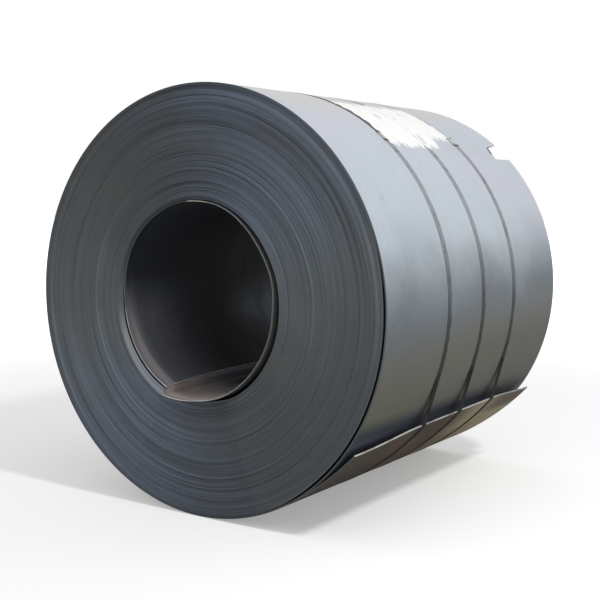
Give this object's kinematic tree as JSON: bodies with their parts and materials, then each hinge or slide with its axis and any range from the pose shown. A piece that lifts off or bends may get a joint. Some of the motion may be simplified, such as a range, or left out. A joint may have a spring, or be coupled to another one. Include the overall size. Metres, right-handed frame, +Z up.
{
  "type": "steel coil",
  "caption": "Large coil of hot-rolled steel strip lying on its side, with an open bore, loose first and last laps, a free tail and steel straps round the coil.",
  "frame": {"origin": "on the floor, midway along the coil and under its axis", "axes": "+Y along the coil's axis, away from the end that shows the head of the strip; +X towards the side with the free tail; +Z up"},
  "size_m": [1.6408, 1.5079, 1.6408],
  "materials": {
    "hot_rolled_steel": "blue-grey mill scale, half matt on the outside and dull on the lap edges",
    "strapping": "dark painted and waxed strapping, lightly rusted",
    "seal": "bare crimped steel"
  },
  "bodies": {
    "root": {"coil": "hot_rolled_steel", "strap_1": "strapping", "strap_2": "strapping", "strap_3": "strapping", "strap_seal_1": "seal", "strap_seal_2": "seal", "strap_seal_3": "seal"}
  },
  "joints": []
}
